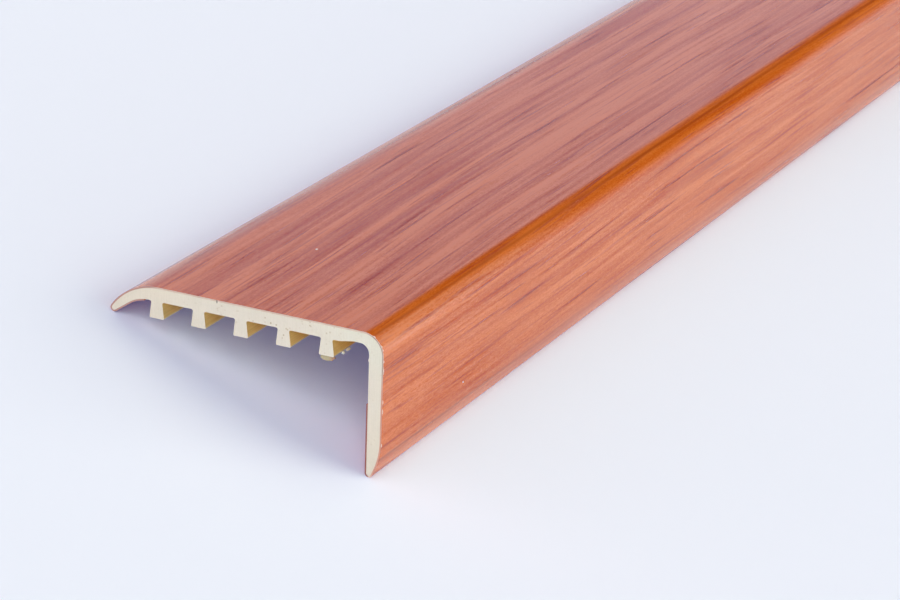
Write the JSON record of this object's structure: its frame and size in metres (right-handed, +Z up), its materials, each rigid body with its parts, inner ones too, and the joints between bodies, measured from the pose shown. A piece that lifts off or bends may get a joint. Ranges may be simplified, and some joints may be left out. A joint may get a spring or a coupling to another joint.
{
  "type": "stair nosing",
  "caption": "L-shaped stair nosing: extruded PVC wrapped in wood-grain film, with a rounded nose, a thinned riser leg and dovetail ribs that key into adhesive under the tread leg.",
  "frame": {"origin": "on the floor, under the centre of the bounding box, with the nosing resting on its toe and its lip", "axes": "+X along the length, +Y from the riser leg back to the lip, +Z up"},
  "size_m": [0.9, 0.0574, 0.0248],
  "materials": {
    "pvc": "ivory rigid PVC, extruded skin with sawn ends",
    "film": "red-brown wood-grain PVC film, satin"
  },
  "bodies": {
    "root": {"pvc_profile": "pvc", "decor_film": "film"}
  },
  "joints": []
}
